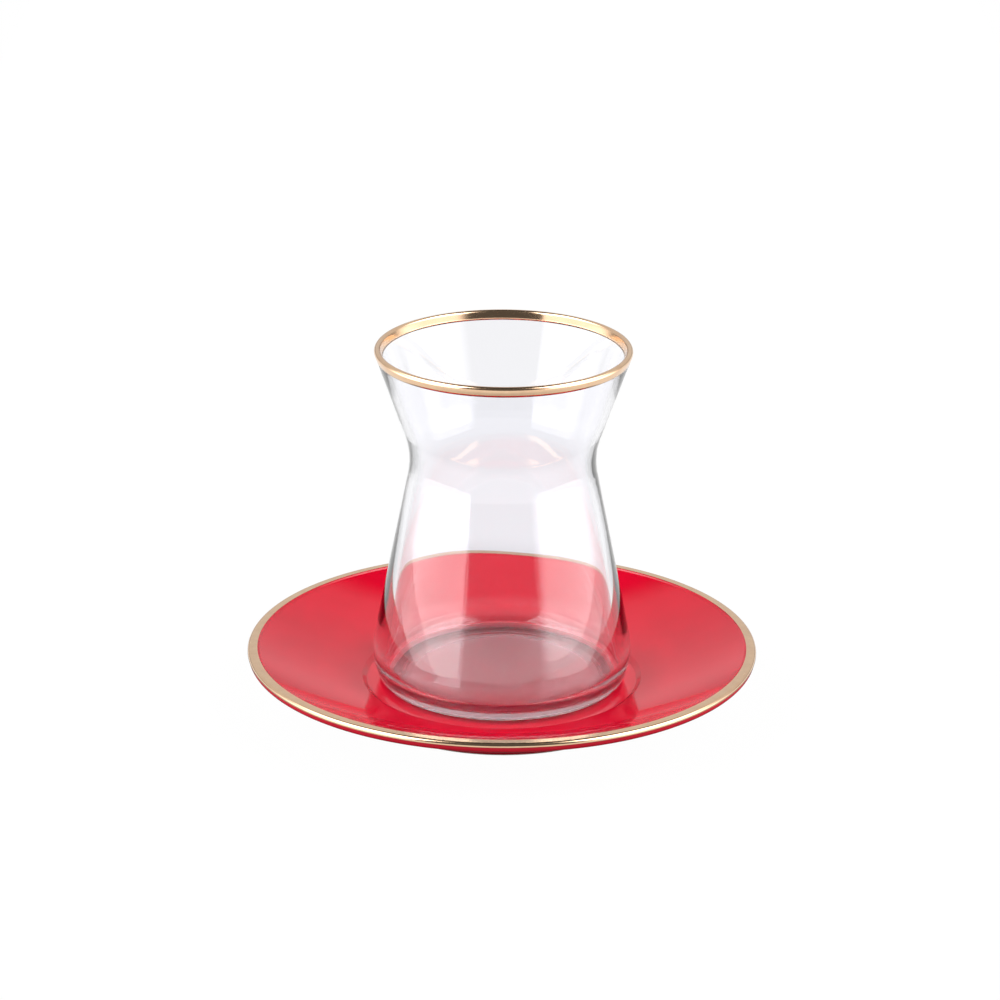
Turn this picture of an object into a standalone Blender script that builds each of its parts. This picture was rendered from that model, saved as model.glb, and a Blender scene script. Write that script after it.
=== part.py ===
"""A waisted tea glass with a gilded lip, standing in the well of a red glazed saucer with a gilded edge.

Run with: blender --background --python part.py
Metres, +Z up. The origin is the centre of the saucer's foot ring, on the table.
Every piece is turned about the Z axis: an outline in the XZ plane with a Screw modifier.
"""

from math import atan2, ceil, cos, degrees, hypot, pi, radians, sin

import bpy

MM = 0.001
SEGMENTS = 60
ARC_STEP_DEG = 15.0
MERGE_DISTANCE = 0.00001
PIECE_GAP = 0.3 * MM

# Saucer: porcelain, 125 mm across, with a well for the glass and a flange that bows up to its lip
SAUCER_RADIUS = 62.5 * MM
SAUCER_HEIGHT = 15.0 * MM
SAUCER_WALL = 2.4 * MM
WELL_FLOOR_HEIGHT = 6.0 * MM
WELL_RADIUS = 33.2 * MM
WELL_STEP_WIDTH = 1.2 * MM
WELL_STEP_HEIGHT = 0.9 * MM
WELL_STEP_ROUNDING = 0.5 * MM
FLANGE_START_SLOPE = radians(9.0)
LIP_WIDTH = 2.4 * MM
LIP_FACE_WIDTH = 1.2 * MM
LIP_DEPTH = 2.5 * MM
LIP_TAPER = 0.3 * MM
LIP_ROUNDING = 0.45 * MM
LIP_UNDER_ROUNDING = 1.0 * MM
FOOT_RADIUS = 35.0 * MM
FOOT_WIDTH = 2.6 * MM
FOOT_TAPER = 0.8 * MM
FOOT_ROUNDING = 0.5 * MM
UNDER_FLOOR_HEIGHT = 2.6 * MM
SAUCER_BAND_DEPTH = 0.5 * MM

# Glass: 85 mm tall, two cones that meet in a waist, a full belly and a thin base
GLASS_HEIGHT = 85.1 * MM
GLASS_LIP_RADIUS = 31.4 * MM
WAIST_RADIUS = 21.95 * MM
WAIST_HEIGHT = 58.3 * MM
WAIST_ROUNDING = 20.0 * MM
BELLY_RADIUS = 32.3 * MM
BELLY_HEIGHT = 6.7 * MM
BELLY_ROUNDING = 17.0 * MM
HEEL_RADIUS = 29.7 * MM
HEEL_ROUNDING = 3.0 * MM
GLASS_LIP_WALL = 1.6 * MM
WAIST_WALL = 1.9 * MM
BELLY_WALL = 2.6 * MM
BASE_THICKNESS = 1.8 * MM
INSIDE_ROUNDING = 5.5 * MM
PUNT_RADIUS = 25.0 * MM
PUNT_EDGE_WIDTH = 3.0 * MM
PUNT_DEPTH = 0.4 * MM
GLASS_BAND_HEIGHT = 2.5 * MM

GLASS_BOTTOM = WELL_FLOOR_HEIGHT + PIECE_GAP
GLASS_TOP = GLASS_BOTTOM + GLASS_HEIGHT

RED_GLAZE = (0.62, 0.006, 0.024)
BRIGHT_GOLD = (0.80, 0.58, 0.30)
CLEAR_GLASS = (0.93, 0.94, 0.95)


def clear_scene():
    """Removes the objects that the file opened with."""
    for old in list(bpy.data.objects):
        bpy.data.objects.remove(old, do_unlink=True)


def make_collection(name):
    """A new collection in the scene."""
    collection = bpy.data.collections.new(name)
    bpy.context.scene.collection.children.link(collection)
    return collection


def make_material(name, colour, roughness, metallic=0.0, transmission=0.0):
    """A Principled material with one colour."""
    material = bpy.data.materials.new(name)
    material.use_nodes = True
    shader = material.node_tree.nodes["Principled BSDF"]
    shader.inputs["Base Color"].default_value = (*colour, 1.0)
    shader.inputs["Roughness"].default_value = roughness
    shader.inputs["Metallic"].default_value = metallic
    shader.inputs["Transmission Weight"].default_value = transmission
    return material


def arc_steps(turn):
    """How many straight steps draw an arc that turns by this angle."""
    return max(2, ceil(abs(degrees(turn)) / ARC_STEP_DEG))


def corner_arc(before, corner, after, radius):
    """The points of the fillet that rounds a corner between two straight runs."""
    towards_before = atan2(before[1] - corner[1], before[0] - corner[0])
    towards_after = atan2(after[1] - corner[1], after[0] - corner[0])
    opening = (towards_after - towards_before + pi) % (2 * pi) - pi
    side = 1.0 if opening > 0 else -1.0
    reach = radius / sin(abs(opening) / 2)
    middle = towards_before + opening / 2
    centre_r = corner[0] + reach * cos(middle)
    centre_z = corner[1] + reach * sin(middle)
    turn = pi - abs(opening)
    steps = arc_steps(turn)
    first = towards_before - side * pi / 2
    angles = [first - side * turn * step / steps for step in range(steps + 1)]
    return [(centre_r + radius * cos(angle), centre_z + radius * sin(angle)) for angle in angles]


def rounded(corners):
    """An open outline through (radius, height, rounding) corners, the rounded ones drawn as arcs."""
    outline = []
    for index, (r, z, rounding) in enumerate(corners):
        if rounding > 0.0:
            before, after = corners[index - 1], corners[index + 1]
            outline += corner_arc(before, (r, z), after, rounding)
        else:
            outline.append((r, z))
    return outline


def radius_at(low, high, height):
    """The radius at a height on the straight run between two corners."""
    share = (height - low[1]) / (high[1] - low[1])
    return low[0] + (high[0] - low[0]) * share


def turned(name, outline, closed, material, collection):
    """Turns an outline about the Z axis into a named solid."""
    count = len(outline)
    edges = [(index, index + 1) for index in range(count - 1)]
    if closed:
        edges.append((count - 1, 0))
    mesh = bpy.data.meshes.new(name)
    mesh.from_pydata([(r, 0.0, z) for r, z in outline], edges, [])
    mesh.materials.append(material)
    piece = bpy.data.objects.new(name, mesh)
    collection.objects.link(piece)
    screw = piece.modifiers.new("Turn", "SCREW")
    screw.axis = "Z"
    screw.angle = 2 * pi
    screw.steps = SEGMENTS
    screw.render_steps = SEGMENTS
    screw.use_merge_vertices = True
    screw.merge_threshold = MERGE_DISTANCE
    screw.use_smooth_shade = True
    return piece


def flange_arc(below):
    """The flange as a bowed arc from the well's step to the foot of the lip's inner face.

    The same arc drawn one wall thickness below the glazed top is the flange's underside.
    """
    start_r = WELL_RADIUS + WELL_STEP_WIDTH
    start_z = WELL_FLOOR_HEIGHT + WELL_STEP_HEIGHT
    rise = SAUCER_HEIGHT - LIP_FACE_WIDTH - start_z
    run = SAUCER_RADIUS - LIP_WIDTH - LIP_FACE_WIDTH - start_r
    turn = 2 * (atan2(rise, run) - FLANGE_START_SLOPE)
    radius = hypot(run, rise) / (2 * sin(turn / 2))
    centre_r = start_r - radius * sin(FLANGE_START_SLOPE)
    centre_z = start_z + radius * cos(FLANGE_START_SLOPE)
    steps = 1 + arc_steps(turn)
    slopes = [FLANGE_START_SLOPE + turn * step / steps for step in range(steps + 1)]
    drawn = radius + below
    return [(centre_r + drawn * sin(slope), centre_z - drawn * cos(slope), 0.0) for slope in slopes]


def saucer_outline():
    """The porcelain from the middle of the well, out over the flange, and back under to the foot ring."""
    flange = flange_arc(0.0)
    underside = flange_arc(SAUCER_WALL)
    cut = SAUCER_HEIGHT - SAUCER_BAND_DEPTH - PIECE_GAP
    lip_foot = flange[-1]
    lip_crown = (SAUCER_RADIUS - LIP_WIDTH, SAUCER_HEIGHT)
    foot_inside = FOOT_RADIUS - FOOT_WIDTH
    return rounded([
        (0.0, WELL_FLOOR_HEIGHT, 0.0),
        (WELL_RADIUS, WELL_FLOOR_HEIGHT, WELL_STEP_ROUNDING),
        (*flange[0][:2], WELL_STEP_ROUNDING),
        *flange[1:],
        (radius_at(lip_foot, lip_crown, cut), cut, 0.0),
        (SAUCER_RADIUS - LIP_TAPER / 2, cut, 0.0),
        (SAUCER_RADIUS - LIP_TAPER, SAUCER_HEIGHT - LIP_DEPTH, LIP_UNDER_ROUNDING),
        *reversed(underside[1:]),
        (FOOT_RADIUS + FOOT_TAPER, underside[0][1], FOOT_ROUNDING),
        (FOOT_RADIUS, 0.0, FOOT_ROUNDING),
        (foot_inside, 0.0, FOOT_ROUNDING),
        (foot_inside - FOOT_TAPER, UNDER_FLOOR_HEIGHT, FOOT_ROUNDING),
        (0.0, UNDER_FLOOR_HEIGHT, 0.0),
    ])


def saucer_band_outline():
    """The gilded crown of the saucer's edge: flat on top, with small rounded corners."""
    low = SAUCER_HEIGHT - SAUCER_BAND_DEPTH
    crown_r = SAUCER_RADIUS - LIP_WIDTH
    return rounded([
        (crown_r - SAUCER_BAND_DEPTH, low, 0.0),
        (crown_r, SAUCER_HEIGHT, LIP_ROUNDING),
        (SAUCER_RADIUS, SAUCER_HEIGHT, LIP_ROUNDING),
        (SAUCER_RADIUS, low, 0.0),
    ])


def glass_outside():
    """The corners of the glass's outer face, from the lip down to the middle of its base."""
    return [
        (GLASS_LIP_RADIUS, GLASS_TOP, 0.0),
        (WAIST_RADIUS, GLASS_BOTTOM + WAIST_HEIGHT, WAIST_ROUNDING),
        (BELLY_RADIUS, GLASS_BOTTOM + BELLY_HEIGHT, BELLY_ROUNDING),
        (HEEL_RADIUS, GLASS_BOTTOM, HEEL_ROUNDING),
        (PUNT_RADIUS, GLASS_BOTTOM, 0.0),
        (PUNT_RADIUS - PUNT_EDGE_WIDTH, GLASS_BOTTOM + PUNT_DEPTH, 0.0),
        (0.0, GLASS_BOTTOM + PUNT_DEPTH, 0.0),
    ]


def glass_inside():
    """The corners of the glass's inner face, from the middle of the base up to the lip."""
    return [
        (0.0, GLASS_BOTTOM + BASE_THICKNESS, 0.0),
        (BELLY_RADIUS - BELLY_WALL, GLASS_BOTTOM + BASE_THICKNESS, INSIDE_ROUNDING),
        (WAIST_RADIUS - WAIST_WALL, GLASS_BOTTOM + WAIST_HEIGHT, WAIST_ROUNDING + WAIST_WALL),
        (GLASS_LIP_RADIUS - GLASS_LIP_WALL, GLASS_TOP, 0.0),
    ]


def glass_outline():
    """The clear glass, cut off flat a small gap below its gilded lip."""
    cut = GLASS_TOP - GLASS_BAND_HEIGHT - PIECE_GAP
    inside = glass_inside()
    outside = glass_outside()
    inside[-1] = (radius_at(inside[-2], inside[-1], cut), cut, 0.0)
    outside[0] = (radius_at(outside[1], outside[0], cut), cut, 0.0)
    return rounded(inside) + rounded(outside)


def glass_band_outline():
    """The gilded lip, a ring of the wall's thickness with a round crown."""
    low = GLASS_TOP - GLASS_BAND_HEIGHT
    inside = glass_inside()
    outside = glass_outside()
    half_wall = GLASS_LIP_WALL / 2
    shoulder = GLASS_TOP - half_wall
    crown_r = (radius_at(inside[-2], inside[-1], shoulder) + radius_at(outside[1], outside[0], shoulder)) / 2
    steps = arc_steps(pi) // 2
    angles = [pi - pi * step / steps for step in range(steps + 1)]
    return [
        (radius_at(inside[-2], inside[-1], low), low),
        *[(crown_r + half_wall * cos(angle), shoulder + half_wall * sin(angle)) for angle in angles],
        (radius_at(outside[1], outside[0], low), low),
    ]


def build():
    """Builds the four pieces."""
    clear_scene()
    collection = make_collection("tea_glass_with_saucer")
    glaze = make_material("red_glaze", RED_GLAZE, roughness=0.06)
    gold = make_material("bright_gold", BRIGHT_GOLD, roughness=0.15, metallic=1.0)
    glass = make_material("clear_glass", CLEAR_GLASS, roughness=0.0, transmission=1.0)
    turned("saucer", saucer_outline(), False, glaze, collection)
    turned("saucer_gold_band", saucer_band_outline(), True, gold, collection)
    turned("tea_glass", glass_outline(), False, glass, collection)
    turned("glass_gold_band", glass_band_outline(), True, gold, collection)


build()
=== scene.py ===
"""A clear waisted tea glass with a gilded lip, on a red glazed saucer with a gilded edge.

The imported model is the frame: its boxes give the heights and radii that the visible pieces keep.
The glass, the saucer and the gold on both lips are turned by Geometry Nodes at full smoothness.
"""

import logging
from dataclasses import dataclass, field
from enum import Enum
from math import atan2, cos, hypot, pi, radians, sin

import bpy
from mathutils import Matrix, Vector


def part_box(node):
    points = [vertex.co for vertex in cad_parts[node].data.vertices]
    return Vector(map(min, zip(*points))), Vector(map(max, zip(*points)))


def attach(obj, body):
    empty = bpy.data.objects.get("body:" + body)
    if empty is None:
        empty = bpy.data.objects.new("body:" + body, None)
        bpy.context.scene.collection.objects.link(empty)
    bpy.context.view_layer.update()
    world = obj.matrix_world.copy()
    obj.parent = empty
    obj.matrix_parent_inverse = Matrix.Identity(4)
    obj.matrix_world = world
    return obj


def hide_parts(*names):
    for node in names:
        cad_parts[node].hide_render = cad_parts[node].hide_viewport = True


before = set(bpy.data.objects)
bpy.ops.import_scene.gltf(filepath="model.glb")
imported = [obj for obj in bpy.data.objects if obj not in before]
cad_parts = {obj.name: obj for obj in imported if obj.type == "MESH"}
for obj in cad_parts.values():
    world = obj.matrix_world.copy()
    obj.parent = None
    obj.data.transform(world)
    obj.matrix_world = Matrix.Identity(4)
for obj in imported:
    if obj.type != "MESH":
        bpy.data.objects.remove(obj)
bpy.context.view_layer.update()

MM = 0.001
LOG = logging.getLogger("tea_glass")


class Body(Enum):
    """The bodies that the pieces ride on."""

    ROOT = "root"


class Slot(Enum):
    """The record's material slots."""

    GLASS = "clear_glass"
    GLAZE = "red_glaze"
    GOLD = "bright_gold"


def linear(hex_colour: str) -> tuple[float, float, float, float]:
    """Turns an sRGB hex colour into linear RGBA.

    Args:
        hex_colour: Six hex digits after a hash sign.

    Returns:
        The linear red, green and blue, with full alpha.
    """
    channels = [int(hex_colour[place:place + 2], 16) / 255 for place in (1, 3, 5)]
    red, green, blue = (c / 12.92 if c <= 0.04045 else ((c + 0.055) / 1.055) ** 2.4 for c in channels)
    return (red, green, blue, 1.0)


def add(tree: bpy.types.NodeTree, kind: str, inputs: dict | None = None, **settings) -> bpy.types.Node:
    """Adds a node with its settings, its plain values and its links.

    Args:
        tree: The node tree that takes the node.
        kind: The node's type.
        inputs: Input name or index to a plain value, or to the output socket that feeds it.
        **settings: The node's own properties.

    Returns:
        The new node.
    """
    node = tree.nodes.new(kind)
    for name, value in settings.items():
        setattr(node, name, value)
    for name, value in (inputs or {}).items():
        if isinstance(value, bpy.types.NodeSocket):
            tree.links.new(value, node.inputs[name])
        else:
            node.inputs[name].default_value = value
    return node


def new_finish(name: str) -> tuple[bpy.types.Material, bpy.types.NodeTree, bpy.types.Node]:
    """Makes an empty material.

    Args:
        name: The material's name.

    Returns:
        The material, its tree and its Principled shader.
    """
    material = bpy.data.materials.new(name)
    material.use_nodes = True
    tree = material.node_tree
    return material, tree, tree.nodes["Principled BSDF"]


@dataclass(frozen=True)
class SodaLimeGlass:
    """Pressed and fire-polished soda-lime glass: clear, bright, with slow waves left by the mould."""

    # IOR 1.52 is soda-lime glass. The waves bend what shows through the wall a little, and the underside is
    # matt from the floor of the mould, so the red under it shows soft.
    ior: float = 1.52
    tint: str = "#FBFBFE"
    roughness: float = 0.0
    under_roughness: float = 1.0
    under_radius: float = 31.0 * MM
    under_height: float = 7.0 * MM
    under_fade: float = 0.4 * MM
    wave_length: float = 14 * MM
    wave_height: float = 0.02 * MM
    wave_strength: float = 0.35
    wave_detail: float = 1.5

    def make(self) -> bpy.types.Material:
        """Builds the material."""
        material, tree, shader = new_finish("soda_lime_glass")
        place = add(tree, "ShaderNodeTexCoord").outputs["Object"]
        waves = add(tree, "ShaderNodeTexNoise", {
            "Vector": place, "Scale": 1 / self.wave_length, "Detail": self.wave_detail,
        })
        bump = add(tree, "ShaderNodeBump", {
            "Height": waves.outputs["Fac"], "Distance": self.wave_height, "Strength": self.wave_strength,
        })
        way = add(tree, "ShaderNodeSeparateXYZ", {"Vector": place})
        flat = add(tree, "ShaderNodeCombineXYZ", {"X": way.outputs["X"], "Y": way.outputs["Y"]})
        radius = add(tree, "ShaderNodeVectorMath", {0: flat.outputs["Vector"]}, operation="LENGTH")
        low = add(tree, "ShaderNodeMapRange", {
            "Value": way.outputs["Z"],
            "From Min": self.under_height, "From Max": self.under_height + self.under_fade,
            "To Min": self.under_roughness, "To Max": self.roughness,
        }).outputs["Result"]
        rough = add(tree, "ShaderNodeMapRange", {
            "Value": radius.outputs["Value"],
            "From Min": self.under_radius, "From Max": self.under_radius + self.under_fade,
            "To Min": low, "To Max": self.roughness,
        }).outputs["Result"]
        tree.links.new(rough, shader.inputs["Roughness"])
        shader.inputs["Base Color"].default_value = linear(self.tint)
        shader.inputs["IOR"].default_value = self.ior
        shader.inputs["Transmission Weight"].default_value = 1.0
        tree.links.new(bump.outputs["Normal"], shader.inputs["Normal"])
        return material


@dataclass(frozen=True)
class FiredGoldLustre:
    """Bright gold lustre, brushed on in a turning band and fired: a mirror with a faint turned grain."""

    # The film mirrors the room in a warm, pale gold. It is thinner in patches, which are redder and softer.
    colour: str = "#F3D2AC"
    thin_colour: str = "#E0B796"
    roughness_low: float = 0.09
    roughness_high: float = 0.2
    patch_size: float = 3.0 * MM
    patch_detail: float = 4.0
    stroke_pitch: float = 0.3 * MM
    strokes_per_scale: float = 20.0
    stroke_wander: float = 2.0
    stroke_detail: float = 2.0
    stroke_height: float = 0.006 * MM
    stroke_strength: float = 0.25

    def make(self) -> bpy.types.Material:
        """Builds the material."""
        material, tree, shader = new_finish("fired_gold_lustre")
        place = add(tree, "ShaderNodeTexCoord").outputs["Object"]
        patches = add(tree, "ShaderNodeTexNoise", {
            "Vector": place, "Scale": 1 / self.patch_size, "Detail": self.patch_detail,
        })
        colour = add(tree, "ShaderNodeMix", {
            "Factor": patches.outputs["Fac"], "A": linear(self.colour), "B": linear(self.thin_colour),
        }, data_type="RGBA")
        rough = add(tree, "ShaderNodeMapRange", {
            "Value": patches.outputs["Fac"], "To Min": self.roughness_low, "To Max": self.roughness_high,
        })
        strokes = add(tree, "ShaderNodeTexWave", {
            "Vector": place, "Scale": 1 / (self.strokes_per_scale * self.stroke_pitch),
            "Distortion": self.stroke_wander, "Detail": self.stroke_detail,
        }, wave_type="BANDS", bands_direction="Z")
        bump = add(tree, "ShaderNodeBump", {
            "Height": strokes.outputs["Fac"],
            "Distance": self.stroke_height, "Strength": self.stroke_strength,
        })
        shader.inputs["Metallic"].default_value = 1.0
        tree.links.new(colour.outputs["Result"], shader.inputs["Base Color"])
        tree.links.new(rough.outputs["Result"], shader.inputs["Roughness"])
        tree.links.new(bump.outputs["Normal"], shader.inputs["Normal"])
        return material


@dataclass(frozen=True)
class RedGlaze:
    """A deep red gloss glaze over porcelain, wiped off the foot ring's contact face before firing."""

    # IOR 1.47 is a fired lead-free glaze. Its skin is slightly uneven, so reflections swim a little.
    colour: str = "#C60627"
    deep_colour: str = "#B6031F"
    biscuit: str = "#E9E2D8"
    ior: float = 1.47
    roughness_low: float = 0.035
    roughness_high: float = 0.07
    biscuit_roughness: float = 0.75
    biscuit_height: float = 0.25 * MM
    biscuit_fade: float = 0.15 * MM
    pool_size: float = 11 * MM
    pool_detail: float = 3.0
    skin_size: float = 6 * MM
    skin_detail: float = 1.0
    skin_height: float = 0.02 * MM
    skin_strength: float = 0.3

    def make(self) -> bpy.types.Material:
        """Builds the material."""
        material, tree, shader = new_finish("red_gloss_glaze")
        place = add(tree, "ShaderNodeTexCoord").outputs["Object"]
        height = add(tree, "ShaderNodeSeparateXYZ", {"Vector": place}).outputs["Z"]
        pools = add(tree, "ShaderNodeTexNoise", {
            "Vector": place, "Scale": 1 / self.pool_size, "Detail": self.pool_detail,
        })
        glaze = add(tree, "ShaderNodeMix", {
            "Factor": pools.outputs["Fac"], "A": linear(self.colour), "B": linear(self.deep_colour),
        }, data_type="RGBA")
        bare = add(tree, "ShaderNodeMapRange", {
            "Value": height,
            "From Min": self.biscuit_height, "From Max": self.biscuit_height + self.biscuit_fade,
            "To Min": 1.0, "To Max": 0.0,
        }).outputs["Result"]
        colour = add(tree, "ShaderNodeMix", {
            "Factor": bare, "A": glaze.outputs["Result"], "B": linear(self.biscuit),
        }, data_type="RGBA")
        gloss = add(tree, "ShaderNodeMapRange", {
            "Value": pools.outputs["Fac"], "To Min": self.roughness_low, "To Max": self.roughness_high,
        })
        rough = add(tree, "ShaderNodeMix", {
            "Factor": bare, "A": gloss.outputs["Result"], "B": self.biscuit_roughness,
        })
        skin = add(tree, "ShaderNodeTexNoise", {
            "Vector": place, "Scale": 1 / self.skin_size, "Detail": self.skin_detail,
        })
        bump = add(tree, "ShaderNodeBump", {
            "Height": skin.outputs["Fac"], "Distance": self.skin_height, "Strength": self.skin_strength,
        })
        shader.inputs["IOR"].default_value = self.ior
        tree.links.new(colour.outputs["Result"], shader.inputs["Base Color"])
        tree.links.new(rough.outputs["Result"], shader.inputs["Roughness"])
        tree.links.new(bump.outputs["Normal"], shader.inputs["Normal"])
        return material


@dataclass(frozen=True)
class Corner:
    """A corner of an outline: where it is, and the radius that rounds it."""

    name: str
    r: float
    z: float
    rounding: float = 0.0


@dataclass
class TurnedTree:
    """Geometry Nodes that round an outline's corners and turn it about the Z axis.

    Every corner's place and rounding is a named input. So are the three counts that set the smoothness, the
    angle past which an edge stays sharp, and the height and length of the waves. The outline runs from the
    inside of a piece over its top and down its outside.
    """

    name: str
    corners: list[Corner]
    closed: bool = False
    segments: int = 256
    arc_steps: int = 10
    stretch_cuts: int = 2
    crease: float = radians(40.0)
    wave_height: float = 0.0
    wave_length: float = 34.0 * MM
    wave_start: float = 0.1
    wave_end: float = 0.44
    wave_fade: float = 0.08
    weld: float = 0.001 * MM
    values: dict[str, object] = field(default_factory=dict)

    def socket(self, tree: bpy.types.NodeTree, name: str, kind: str, value: object) -> None:
        """Adds a named input to the tree and remembers the value that the piece gives it.

        Args:
            tree: The tree.
            name: The input's name.
            kind: The input's socket type.
            value: The value for this piece.
        """
        item = tree.interface.new_socket(name=name, in_out="INPUT", socket_type=kind)
        self.values[item.identifier] = value

    def interface(self, tree: bpy.types.NodeTree, material: bpy.types.Material) -> None:
        """Gives the tree its named inputs and its output.

        Args:
            tree: The tree.
            material: The finish that the piece gets.
        """
        for corner in self.corners:
            self.socket(tree, corner.name, "NodeSocketVector", (corner.r, 0.0, corner.z))
        for corner in self.corners:
            self.socket(tree, f"{corner.name} rounding", "NodeSocketFloat", corner.rounding)
        self.socket(tree, "Segments", "NodeSocketInt", self.segments)
        self.socket(tree, "Arc steps", "NodeSocketInt", self.arc_steps)
        self.socket(tree, "Stretch cuts", "NodeSocketInt", self.stretch_cuts)
        self.socket(tree, "Crease angle", "NodeSocketFloat", self.crease)
        self.socket(tree, "Wave height", "NodeSocketFloat", self.wave_height)
        self.socket(tree, "Wave length", "NodeSocketFloat", self.wave_length)
        self.socket(tree, "Finish", "NodeSocketMaterial", material)
        tree.interface.new_socket(name="Geometry", in_out="OUTPUT", socket_type="NodeSocketGeometry")

    def choice(self, tree: bpy.types.NodeTree, kind: str, sockets: list) -> bpy.types.NodeSocket:
        """Picks a corner's value by the index of the outline's point.

        Args:
            tree: The tree.
            kind: The value's data type.
            sockets: The inputs to pick from, in order.

        Returns:
            The picked value, as a field.
        """
        switch = add(tree, "GeometryNodeIndexSwitch", data_type=kind)
        while len(switch.index_switch_items) < len(sockets):
            switch.index_switch_items.new()
        tree.links.new(add(tree, "GeometryNodeInputIndex").outputs["Index"], switch.inputs["Index"])
        for place, socket in enumerate(sockets):
            tree.links.new(socket, switch.inputs[place + 1])
        return switch.outputs[0]

    def outline(self, tree: bpy.types.NodeTree, given: bpy.types.Node) -> bpy.types.NodeSocket:
        """Draws the rounded outline as a poly curve.

        Args:
            tree: The tree.
            given: The group input.

        Returns:
            The curve.
        """
        count = len(self.corners)
        line = add(tree, "GeometryNodeCurvePrimitiveLine")
        points = add(tree, "GeometryNodeResampleCurve", {"Curve": line.outputs["Curve"], "Count": count})
        placed = add(tree, "GeometryNodeSetPosition", {
            "Geometry": points.outputs["Curve"],
            "Position": self.choice(tree, "VECTOR", list(given.outputs[:count])),
        })
        cyclic = add(tree, "GeometryNodeSetSplineCyclic", {
            "Geometry": placed.outputs["Geometry"], "Cyclic": self.closed,
        })
        fillet = add(tree, "GeometryNodeFilletCurve", {
            "Curve": cyclic.outputs["Geometry"],
            "Count": given.outputs["Arc steps"],
            "Radius": self.choice(tree, "FLOAT", list(given.outputs[count:2 * count])),
            "Limit Radius": True,
        }, mode="POLY")
        cut = add(tree, "GeometryNodeSubdivideCurve", {
            "Curve": fillet.outputs["Curve"], "Cuts": given.outputs["Stretch cuts"],
        })
        return cut.outputs["Curve"]

    def waves(self, tree: bpy.types.NodeTree, given: bpy.types.Node, place: bpy.types.NodeSocket,
              along: bpy.types.NodeSocket) -> bpy.types.NodeSocket:
        """Moves a share of the outline in and out by slow waves, as the inside of pressed glass has them.

        Args:
            tree: The tree.
            given: The group input.
            place: Each point's place.
            along: How far along the outline each point lies, as a share.

        Returns:
            The shifted places.
        """
        rise = add(tree, "ShaderNodeMapRange", {
            "Value": along, "From Min": self.wave_start, "From Max": self.wave_start + self.wave_fade,
        }, interpolation_type="SMOOTHSTEP").outputs["Result"]
        both = add(tree, "ShaderNodeMapRange", {
            "Value": along, "From Min": self.wave_end - self.wave_fade, "From Max": self.wave_end,
            "To Min": rise, "To Max": 0.0,
        }, interpolation_type="SMOOTHSTEP").outputs["Result"]
        pace = add(tree, "ShaderNodeMath", {0: 1.0, 1: given.outputs["Wave length"]}, operation="DIVIDE")
        noise = add(tree, "ShaderNodeTexNoise", {
            "Vector": place, "Scale": pace.outputs["Value"], "Detail": 0.0,
        })
        swing = add(tree, "ShaderNodeMapRange", {"Value": noise.outputs["Fac"], "To Min": -1.0})
        height = add(tree, "ShaderNodeMath", {
            0: swing.outputs["Result"], 1: given.outputs["Wave height"],
        }, operation="MULTIPLY")
        shift = add(tree, "ShaderNodeMath", {0: height.outputs["Value"], 1: both}, operation="MULTIPLY")
        flat = add(tree, "ShaderNodeVectorMath", {0: place, 1: (1.0, 1.0, 0.0)}, operation="MULTIPLY")
        out = add(tree, "ShaderNodeVectorMath", {0: flat.outputs["Vector"]}, operation="NORMALIZE")
        step = add(tree, "ShaderNodeVectorMath", {
            0: out.outputs["Vector"], "Scale": shift.outputs["Value"],
        }, operation="SCALE")
        moved = add(tree, "ShaderNodeVectorMath", {0: place, 1: step.outputs["Vector"]}, operation="ADD")
        return moved.outputs["Vector"]

    def build(self, material: bpy.types.Material) -> bpy.types.NodeTree:
        """Builds the whole tree.

        Args:
            material: The finish that the piece gets.

        Returns:
            The tree.
        """
        tree = bpy.data.node_groups.new(self.name, "GeometryNodeTree")
        self.interface(tree, material)
        given = add(tree, "NodeGroupInput")
        curve = self.outline(tree, given)
        size = add(tree, "GeometryNodeAttributeDomainSize", {"Geometry": curve}, component="CURVE")
        count = size.outputs["Point Count"]
        rows = add(tree, "ShaderNodeMath", {0: count, 1: float(self.closed)}, operation="ADD")
        rows = rows.outputs["Value"]
        columns = add(tree, "ShaderNodeMath", {0: given.outputs["Segments"], 1: 1.0}, operation="ADD")
        grid = add(tree, "GeometryNodeMeshGrid", {"Vertices X": columns.outputs["Value"], "Vertices Y": rows})
        index = add(tree, "GeometryNodeInputIndex").outputs["Index"]
        share = add(tree, "ShaderNodeMath", {0: index, 1: rows}, operation="DIVIDE")
        column = add(tree, "ShaderNodeMath", {0: share.outputs["Value"]}, operation="FLOOR").outputs["Value"]
        row = add(tree, "ShaderNodeMath", {0: index, 1: rows}, operation="MODULO").outputs["Value"]
        wrapped = add(tree, "ShaderNodeMath", {0: row, 1: count}, operation="MODULO").outputs["Value"]
        sample = add(tree, "GeometryNodeSampleIndex", {
            "Geometry": curve, "Index": wrapped,
            "Value": add(tree, "GeometryNodeInputPosition").outputs["Position"],
        }, data_type="FLOAT_VECTOR")
        turn = add(tree, "ShaderNodeMath", {0: column, 1: given.outputs["Segments"]}, operation="DIVIDE")
        angle = add(tree, "ShaderNodeMath", {0: turn.outputs["Value"], 1: 2 * pi}, operation="MULTIPLY")
        spun = add(tree, "ShaderNodeVectorRotate", {
            "Vector": sample.outputs["Value"], "Angle": angle.outputs["Value"],
        }, rotation_type="Z_AXIS")
        along = add(tree, "GeometryNodeSampleIndex", {
            "Geometry": curve, "Index": wrapped,
            "Value": add(tree, "GeometryNodeSplineParameter").outputs["Factor"],
        }, data_type="FLOAT").outputs["Value"]
        waved = self.waves(tree, given, spun.outputs["Vector"], along)
        placed = add(tree, "GeometryNodeSetPosition", {"Geometry": grid.outputs["Mesh"], "Position": waved})
        welded = add(tree, "GeometryNodeMergeByDistance", {
            "Geometry": placed.outputs["Geometry"], "Distance": self.weld,
        })
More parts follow.
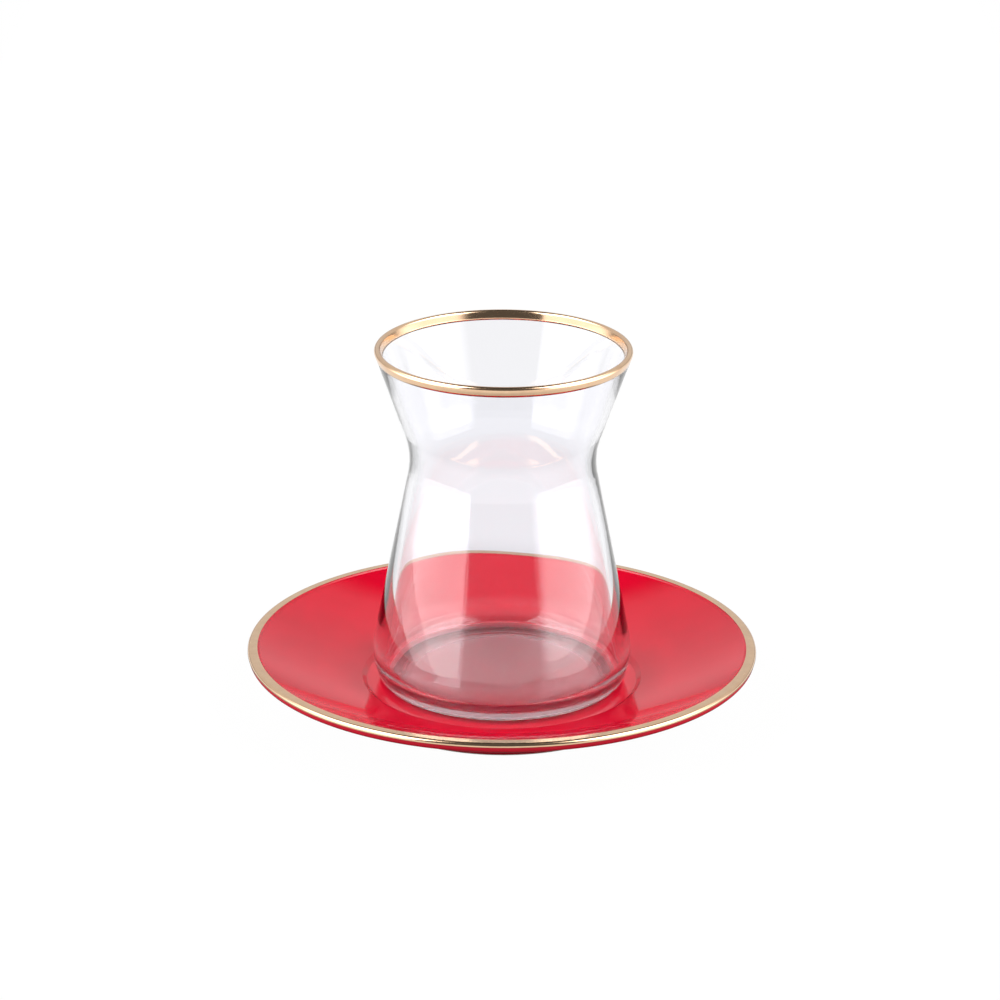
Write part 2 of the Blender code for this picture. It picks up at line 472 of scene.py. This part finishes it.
        faced = add(tree, "GeometryNodeFlipFaces", {"Mesh": welded.outputs["Geometry"]})
        smooth = add(tree, "GeometryNodeSetShadeSmooth", {"Geometry": faced.outputs["Mesh"]})
        crease = add(tree, "FunctionNodeCompare", {
            0: add(tree, "GeometryNodeInputMeshEdgeAngle").outputs["Unsigned Angle"],
            1: given.outputs["Crease angle"],
        }, data_type="FLOAT", operation="GREATER_THAN").outputs["Result"]
        creased = add(tree, "GeometryNodeSetShadeSmooth", {
            "Geometry": smooth.outputs["Geometry"], "Selection": crease, "Shade Smooth": False,
        }, domain="EDGE")
        real = add(tree, "GeometryNodeRealizeInstances", {"Geometry": creased.outputs["Geometry"]})
        dressed = add(tree, "GeometryNodeSetMaterial", {
            "Geometry": real.outputs["Geometry"], "Material": given.outputs["Finish"],
        })
        add(tree, "NodeGroupOutput", {"Geometry": dressed.outputs["Geometry"]})
        return tree

    def piece(self, material: bpy.types.Material) -> bpy.types.Object:
        """Turns the outline into a plain mesh object.

        Args:
            material: The finish that the piece gets.

        Returns:
            The finished object.
        """
        blank = bpy.data.meshes.new(f"{self.name}_maker")
        maker = bpy.data.objects.new(f"{self.name}_maker", blank)
        bpy.context.scene.collection.objects.link(maker)
        tree = self.build(material)
        modifier = maker.modifiers.new("Turned", "NODES")
        modifier.node_group = tree
        for identifier, value in self.values.items():
            modifier[identifier] = value
        graph = bpy.context.evaluated_depsgraph_get()
        turned = maker.evaluated_get(graph)
        mesh = bpy.data.meshes.new_from_object(turned, preserve_all_data_layers=True, depsgraph=graph)
        mesh.name = self.name
        bpy.data.objects.remove(maker, do_unlink=True)
        piece = bpy.data.objects.new(self.name, mesh)
        bpy.context.scene.collection.objects.link(piece)
        LOG.info("%s: %d faces", self.name, len(mesh.polygons))
        return piece


def slope_line(low: Corner, high: Corner, height: float) -> float:
    """Gives the radius at a height on the straight run between two corners.

    Args:
        low: The lower corner.
        high: The upper corner.
        height: The height.

    Returns:
        The radius there.
    """
    return low.r + (high.r - low.r) * (height - low.z) / (high.z - low.z)


def straight_run(name: str, low: Corner, high: Corner, shares: tuple[float, ...]) -> list[Corner]:
    """Puts plain points on the straight run between two corners, so that waves can bend it.

    Args:
        name: The start of their names.
        low: The lower corner.
        high: The upper corner.
        shares: How far along the run each point lies.

    Returns:
        The points.
    """
    return [
        Corner(f"{name} {place}", low.r + (high.r - low.r) * share, low.z + (high.z - low.z) * share)
        for place, share in enumerate(shares)
    ]


@dataclass
class TeaGlass:
    """The glass and the gold on its lip."""

    bottom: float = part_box("tea_glass")[0][2]
    top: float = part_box("glass_gold_band")[1][2]
    lip_radius: float = 31.4 * MM
    waist_radius: float = 21.95 * MM
    waist_height: float = 58.3 * MM
    waist_rounding: float = 20.0 * MM
    belly_radius: float = 32.3 * MM
    belly_height: float = 6.7 * MM
    belly_rounding: float = 17.0 * MM
    heel_radius: float = 29.7 * MM
    heel_rounding: float = 3.0 * MM
    lip_wall: float = 1.6 * MM
    lip_rounding: float = 0.79 * MM
    waist_wall: float = 1.9 * MM
    belly_wall: float = 2.6 * MM
    base_thickness: float = 1.8 * MM
    inside_rounding: float = 5.5 * MM
    punt_radius: float = 25.0 * MM
    punt_edge_width: float = 3.0 * MM
    punt_depth: float = 0.4 * MM
    punt_rounding: float = 1.5 * MM
    wave_height: float = 0.5 * MM
    belly_shares: tuple[float, ...] = (0.2, 0.35, 0.5, 0.65, 0.8)
    flare_shares: tuple[float, ...] = (0.3, 0.55, 0.8)
    gold_height: float = 2.5 * MM
    gold_height_inside: float = 2.2 * MM
    gold_proud: float = 0.03 * MM
    gold_sunk: float = 0.02 * MM
    wall_segments: int = 240
    wall_arc_steps: int = 16
    wall_cuts: int = 1
    gold_cuts: int = 2

    def inside(self) -> list[Corner]:
        """The corners of the inner face, from the middle of the base up to the lip."""
        floor = self.bottom + self.base_thickness
        corner = Corner("Inner corner", self.belly_radius - self.belly_wall, floor, self.inside_rounding)
        waist = Corner("Inner waist", self.waist_radius - self.waist_wall, self.bottom + self.waist_height,
                       self.waist_rounding + self.waist_wall)
        lip_radius = self.lip_radius - self.lip_wall
        lip = Corner("Inner lip", lip_radius, self.top - self.gold_proud, self.lip_rounding)
        return [
            Corner("Inner floor", 0.0, floor),
            corner,
            *straight_run("Inner belly", corner, waist, self.belly_shares),
            waist,
            *straight_run("Inner flare", waist, lip, self.flare_shares),
            lip,
        ]

    def outside(self) -> list[Corner]:
        """The corners of the outer face, from the lip down to the middle of the base."""
        punt_top = self.bottom + self.punt_depth
        return [
            Corner("Outer lip", self.lip_radius, self.top - self.gold_proud, self.lip_rounding),
            Corner("Waist", self.waist_radius, self.bottom + self.waist_height, self.waist_rounding),
            Corner("Belly", self.belly_radius, self.bottom + self.belly_height, self.belly_rounding),
            Corner("Heel", self.heel_radius, self.bottom, self.heel_rounding),
            Corner("Punt edge", self.punt_radius, self.bottom, self.punt_rounding),
            Corner("Punt", self.punt_radius - self.punt_edge_width, punt_top, self.punt_rounding),
            Corner("Punt middle", 0.0, punt_top),
        ]

    def gold_outline(self) -> list[Corner]:
        """The closed outline of the gold: a thin film that wraps the lip, sunk a little into the glass."""
        inner, outer = self.inside()[-2:], self.outside()
        low_inside = self.top - self.gold_height_inside
        low_outside = self.top - self.gold_height
        outer_low = slope_line(outer[1], outer[0], low_outside)
        inner_low = slope_line(inner[0], inner[1], low_inside)
        proud, sunk = self.gold_proud, self.gold_sunk
        return [
            Corner("Inside edge sunk", inner_low + sunk, low_inside),
            Corner("Inside edge", inner_low - proud, low_inside),
            Corner("Inside crown", inner[1].r - proud, self.top, self.lip_rounding + proud),
            Corner("Outside crown", outer[0].r + proud, self.top, self.lip_rounding + proud),
            Corner("Outside edge", outer_low + proud, low_outside),
            Corner("Outside edge sunk", outer_low - sunk, low_outside),
            Corner("Outside crown sunk", outer[0].r - sunk, outer[0].z - sunk, self.lip_rounding - sunk),
            Corner("Inside crown sunk", inner[1].r + sunk, inner[1].z - sunk, self.lip_rounding - sunk),
        ]

    def build(self, glass: bpy.types.Material, gold: bpy.types.Material) -> list[bpy.types.Object]:
        """Builds the glass and its gold.

        Args:
            glass: The glass finish.
            gold: The gold finish.

        Returns:
            The two finished pieces.
        """
        wall = TurnedTree(
            "glass_wall", self.inside() + self.outside(), segments=self.wall_segments,
            arc_steps=self.wall_arc_steps, stretch_cuts=self.wall_cuts, wave_height=self.wave_height,
        ).piece(glass)
        film = TurnedTree(
            "glass_gilding", self.gold_outline(), closed=True, stretch_cuts=self.gold_cuts, crease=pi,
        ).piece(gold)
        for piece, node, slot in ((wall, "tea_glass", Slot.GLASS), (film, "glass_gold_band", Slot.GOLD)):
            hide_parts(node)
            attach(piece, Body.ROOT.value)
        return [wall, film]


@dataclass
class Saucer:
    """The porcelain saucer and the gold on its edge."""

    height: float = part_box("saucer_gold_band")[1][2]
    radius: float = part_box("saucer_gold_band")[1][0]
    wall: float = 2.4 * MM
    floor_height: float = 6.0 * MM
    well_radius: float = 33.2 * MM
    step_width: float = 1.2 * MM
    step_height: float = 0.9 * MM
    step_rounding: float = 0.6 * MM
    start_slope: float = radians(9.0)
    flange_steps: int = 18
    lip_width: float = 2.4 * MM
    lip_face_width: float = 0.5 * MM
    lip_face_rounding: float = 1.5 * MM
    lip_depth: float = 2.5 * MM
    lip_taper: float = 0.3 * MM
    lip_inner_rounding: float = 0.6 * MM
    lip_outer_rounding: float = 0.8 * MM
    lip_under_rounding: float = 1.0 * MM
    foot_radius: float = 35.0 * MM
    foot_width: float = 2.6 * MM
    foot_taper: float = 0.8 * MM
    foot_rounding: float = 0.5 * MM
    under_floor: float = 2.6 * MM
    gold_drop: float = 1.0 * MM
    gold_proud: float = 0.03 * MM
    gold_sunk: float = 0.02 * MM
    segments: int = 512
    arc_steps: int = 5

    def flange(self, name: str, below: float) -> list[Corner]:
        """The bowed flange, from the well's step to the foot of the lip's inner face.

        Args:
            name: The start of its corners' names.
            below: How far under the glazed top the arc runs.

        Returns:
            The corners, from the inside out.
        """
        start_r = self.well_radius + self.step_width
        start_z = self.floor_height + self.step_height
        rise = self.height - self.lip_face_width - start_z
        run = self.radius - self.lip_width - self.lip_face_width - start_r
        turn = 2 * (atan2(rise, run) - self.start_slope)
        arc = hypot(run, rise) / (2 * sin(turn / 2))
        centre_r = start_r - arc * sin(self.start_slope)
        centre_z = start_z + arc * cos(self.start_slope)
        drawn = arc + below
        slopes = [self.start_slope + turn * step / self.flange_steps for step in range(self.flange_steps + 1)]
        return [
            Corner(f"{name} {step}", centre_r + drawn * sin(slope), centre_z - drawn * cos(slope))
            for step, slope in enumerate(slopes)
        ]

    def outline(self) -> list[Corner]:
        """The porcelain's outline, from the middle of the well over the lip to the underside's middle."""
        top = self.flange("Flange", 0.0)
        under = self.flange("Underside", self.wall)
        first, last = top[0], top[-1]
        foot_inside = self.foot_radius - self.foot_width
        crown = self.height - self.gold_proud
        lip_foot = self.height - self.lip_depth
        return [
            Corner("Well middle", 0.0, self.floor_height),
            Corner("Well edge", self.well_radius, self.floor_height, self.step_rounding),
            Corner("Well step", first.r, first.z, self.step_rounding),
            *top[1:-1],
            Corner("Lip foot", last.r, last.z, self.lip_face_rounding),
            Corner("Lip inner", self.radius - self.lip_width, crown, self.lip_inner_rounding),
            Corner("Lip outer", self.radius - self.gold_proud, crown, self.lip_outer_rounding),
            Corner("Lip under", self.radius - self.lip_taper, lip_foot, self.lip_under_rounding),
            *reversed(under[1:]),
            Corner("Foot root", self.foot_radius + self.foot_taper, under[0].z, self.foot_rounding),
            Corner("Foot outside", self.foot_radius, 0.0, self.foot_rounding),
            Corner("Foot inside", foot_inside, 0.0, self.foot_rounding),
            Corner("Foot hollow", foot_inside - self.foot_taper, self.under_floor, self.foot_rounding),
            Corner("Underside middle", 0.0, self.under_floor),
        ]

    def gold_outline(self) -> list[Corner]:
        """The closed outline of the gold: a thin film over the flat top and round the outer shoulder."""
        inner = self.radius - self.lip_width
        low = self.height - self.gold_drop
        under = self.gold_proud + self.gold_sunk
        return [
            Corner("Inner edge sunk", inner, self.height - under),
            Corner("Inner edge", inner, self.height),
            Corner("Outer shoulder", self.radius, self.height, self.lip_outer_rounding + self.gold_proud),
            Corner("Outer edge", self.radius, low),
            Corner("Outer edge sunk", self.radius - under, low),
            Corner("Outer shoulder sunk", self.radius - under, self.height - under,
                   self.lip_outer_rounding - self.gold_sunk),
        ]

    def build(self, glaze: bpy.types.Material, gold: bpy.types.Material) -> list[bpy.types.Object]:
        """Builds the saucer and its gold.

        Args:
            glaze: The glaze finish.
            gold: The gold finish.

        Returns:
            The two finished pieces.
        """
        dish = TurnedTree(
            "saucer_porcelain", self.outline(), segments=self.segments, arc_steps=self.arc_steps,
            stretch_cuts=0,
        ).piece(glaze)
        film = TurnedTree("saucer_gilding", self.gold_outline(), closed=True, stretch_cuts=0).piece(gold)
        for piece, node, slot in ((dish, "saucer", Slot.GLAZE), (film, "saucer_gold_band", Slot.GOLD)):
            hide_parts(node)
            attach(piece, Body.ROOT.value)
        return [dish, film]


@dataclass
class Studio:
    """The white table, the light round it and the camera of the photograph."""

    floor_half_width: float = 0.2
    floor_half_length: float = 3.0
    floor_colour: str = "#202020"
    floor_roughness: float = 0.9
    floor_glow: float = 0.985
    shade_glow: float = 0.12
    shade_span: tuple[float, float] = (62.0 * MM, 110.0 * MM)
    table_light: float = 1.0
    table_edge: tuple[float, float] = (radians(-1.0), radians(0.5))
    bank_light: float = 5.4
    bank_low_light: float = 3.4
    bank_low: tuple[float, float] = (radians(3.0), radians(12.0))
    bank_middle_light: float = 1.6
    bank_middle: tuple[float, float] = (radians(24.0), radians(32.0))
    bank_top: tuple[float, float] = (radians(58.0), radians(70.0))
    bank_end: tuple[float, float] = (radians(94.0), radians(124.0))
    gap_light: float = 0.1
    gap_left: tuple[float, float] = (radians(-37.5), radians(-39.5))
    gap_right: tuple[float, float] = (radians(33.0), radians(48.0))
    back_light: float = 0.74
    back_low_light: float = 0.3
    back_low: tuple[float, float] = (radians(0.0), radians(14.0))
    back_top: tuple[float, float] = (radians(45.0), radians(54.0))
    overhead_light: float = 0.03
    camera_distance: float = 930 * MM
    camera_height: float = 390.9 * MM
    camera_offset: float = -0.66 * MM
    camera_pitch: float = radians(20.0)
    camera_roll: float = radians(0.33)
    camera_clip: float = 10 * MM
    lens: float = 146.6
    bounces: int = 24

    def floor(self) -> None:
        """Lays the table under the saucer.

        The camera sees it plain white, as the photograph's table was made white. For every other ray a
        painted shadow dims its glow close round the foot, so the saucer and the gold reflect that painted
        shade and are lit less by it there.
        """
        wide, deep = self.floor_half_width, self.floor_half_length
        corners = [(-wide, -deep, 0.0), (wide, -deep, 0.0), (wide, deep, 0.0), (-wide, deep, 0.0)]
        mesh = bpy.data.meshes.new("table")
        mesh.from_pydata(corners, [], [(0, 1, 2, 3)])
        material, tree, shader = new_finish("white_table")
        shader.inputs["Base Color"].default_value = linear(self.floor_colour)
        shader.inputs["Roughness"].default_value = self.floor_roughness
        shader.inputs["Specular IOR Level"].default_value = 0.0
        shader.inputs["Emission Color"].default_value = (1.0, 1.0, 1.0, 1.0)
        place = add(tree, "ShaderNodeTexCoord").outputs["Object"]
        radius = add(tree, "ShaderNodeVectorMath", {0: place}, operation="LENGTH").outputs["Value"]
        # Painted shadow: the glow falls to shade_glow close round the saucer's foot, standing in for the
        # shade the saucer would cast on the table.
        shade = add(tree, "ShaderNodeMapRange", {
            "Value": radius, "From Min": self.shade_span[0], "From Max": self.shade_span[1],
            "To Min": self.shade_glow, "To Max": self.floor_glow,
        }, interpolation_type="SMOOTHSTEP").outputs["Result"]
        # Camera rays see the full glow. All other rays see the painted shadow round the foot.
        seen = add(tree, "ShaderNodeLightPath").outputs["Is Camera Ray"]
        glow = add(tree, "ShaderNodeMix", {"Factor": seen, "A": shade, "B": self.floor_glow})
        tree.links.new(glow.outputs["Result"], shader.inputs["Emission Strength"])
        mesh.materials.append(material)
        table = bpy.data.objects.new("table", mesh)
        bpy.context.scene.collection.objects.link(table)

    def ramp(self, tree: bpy.types.NodeTree, value: bpy.types.NodeSocket, span: tuple[float, float],
             low: object, high: object) -> bpy.types.NodeSocket:
        """Turns an angle into a light that changes softly over a span of it.

        Args:
            tree: The world's tree.
            value: The angle.
            span: Where the change starts and ends.
            low: The light before the span, a number or a socket.
            high: The light after the span, a number or a socket.

        Returns:
            The light.
        """
        share = add(tree, "ShaderNodeMapRange", {
            "Value": value, "From Min": span[0], "From Max": span[1],
        }, interpolation_type="SMOOTHSTEP").outputs["Result"]
        return add(tree, "ShaderNodeMix", {"Factor": share, "A": low, "B": high}).outputs["Result"]

    def light(self) -> None:
        """Puts a bank of light each side, a dark gap behind the camera, and a pale wall at the back."""
        world = bpy.data.worlds.new("studio")
        bpy.context.scene.world = world
        world.use_nodes = True
        tree = world.node_tree
        place = add(tree, "ShaderNodeTexCoord").outputs["Generated"]
        way = add(tree, "ShaderNodeSeparateXYZ", {"Vector": place})
        front = add(tree, "ShaderNodeMath", {0: way.outputs["Y"], 1: -1.0}, operation="MULTIPLY")
        turn = add(tree, "ShaderNodeMath", {
            0: way.outputs["X"], 1: front.outputs["Value"],
        }, operation="ARCTAN2").outputs["Value"]
        off_front = add(tree, "ShaderNodeMath", {0: turn}, operation="ABSOLUTE").outputs["Value"]
        height = add(tree, "ShaderNodeMath", {0: way.outputs["Z"]}, operation="ARCSINE").outputs["Value"]
        bank = self.ramp(tree, height, self.bank_low, self.bank_low_light, self.bank_middle_light)
        bank = self.ramp(tree, height, self.bank_middle, bank, self.bank_light)
        bank = self.ramp(tree, height, self.bank_top, bank, self.overhead_light)
        gap = self.ramp(tree, height, self.table_edge, self.table_light, self.gap_light)
        left = self.ramp(tree, turn, self.gap_left, gap, bank)
        both = self.ramp(tree, turn, self.gap_right, left, bank)
        wall = self.ramp(tree, height, self.back_low, self.back_low_light, self.back_light)
        wall = self.ramp(tree, height, self.table_edge, self.table_light, wall)
        back = self.ramp(tree, height, self.back_top, wall, self.overhead_light)
        strength = self.ramp(tree, off_front, self.bank_end, both, back)
        background = tree.nodes["Background"]
        tree.links.new(strength, background.inputs["Strength"])
        background.inputs["Color"].default_value = (1.0, 1.0, 1.0, 1.0)

    def camera(self) -> None:
        """Sets up the camera where the photograph was taken from."""
        data = bpy.data.cameras.new("camera")
        data.lens = self.lens
        data.clip_start = self.camera_clip
        camera = bpy.data.objects.new("camera", data)
        tilt = Matrix.Rotation(pi / 2 - self.camera_pitch, 4, "X")
        roll = Matrix.Rotation(self.camera_roll, 4, "Z")
        place = Matrix.Translation((self.camera_offset, -self.camera_distance, self.camera_height))
        camera.matrix_world = place @ tilt @ roll
        bpy.context.scene.collection.objects.link(camera)
        bpy.context.scene.camera = camera

    def build(self) -> None:
        """Builds the whole studio, with plain display colours so that white stays white."""
        self.floor()
        self.light()
        self.camera()
        scene = bpy.context.scene
        scene.view_settings.view_transform = "Standard"
        scene.cycles.blur_glossy = 0.0
        scene.cycles.max_bounces = self.bounces
        scene.cycles.transmission_bounces = self.bounces


def main() -> None:
    """Builds the object and its studio, and reports each piece."""
    logging.basicConfig(level=logging.INFO, format="%(name)s: %(message)s")
    gold = FiredGoldLustre().make()
    pieces = Saucer().build(RedGlaze().make(), gold)
    pieces += TeaGlass().build(SodaLimeGlass().make(), gold)
    Studio().build()
    for piece in pieces:
        LOG.info("%s rides on %s", piece.name, Body.ROOT.value)


if __name__ == "__main__":
    main()
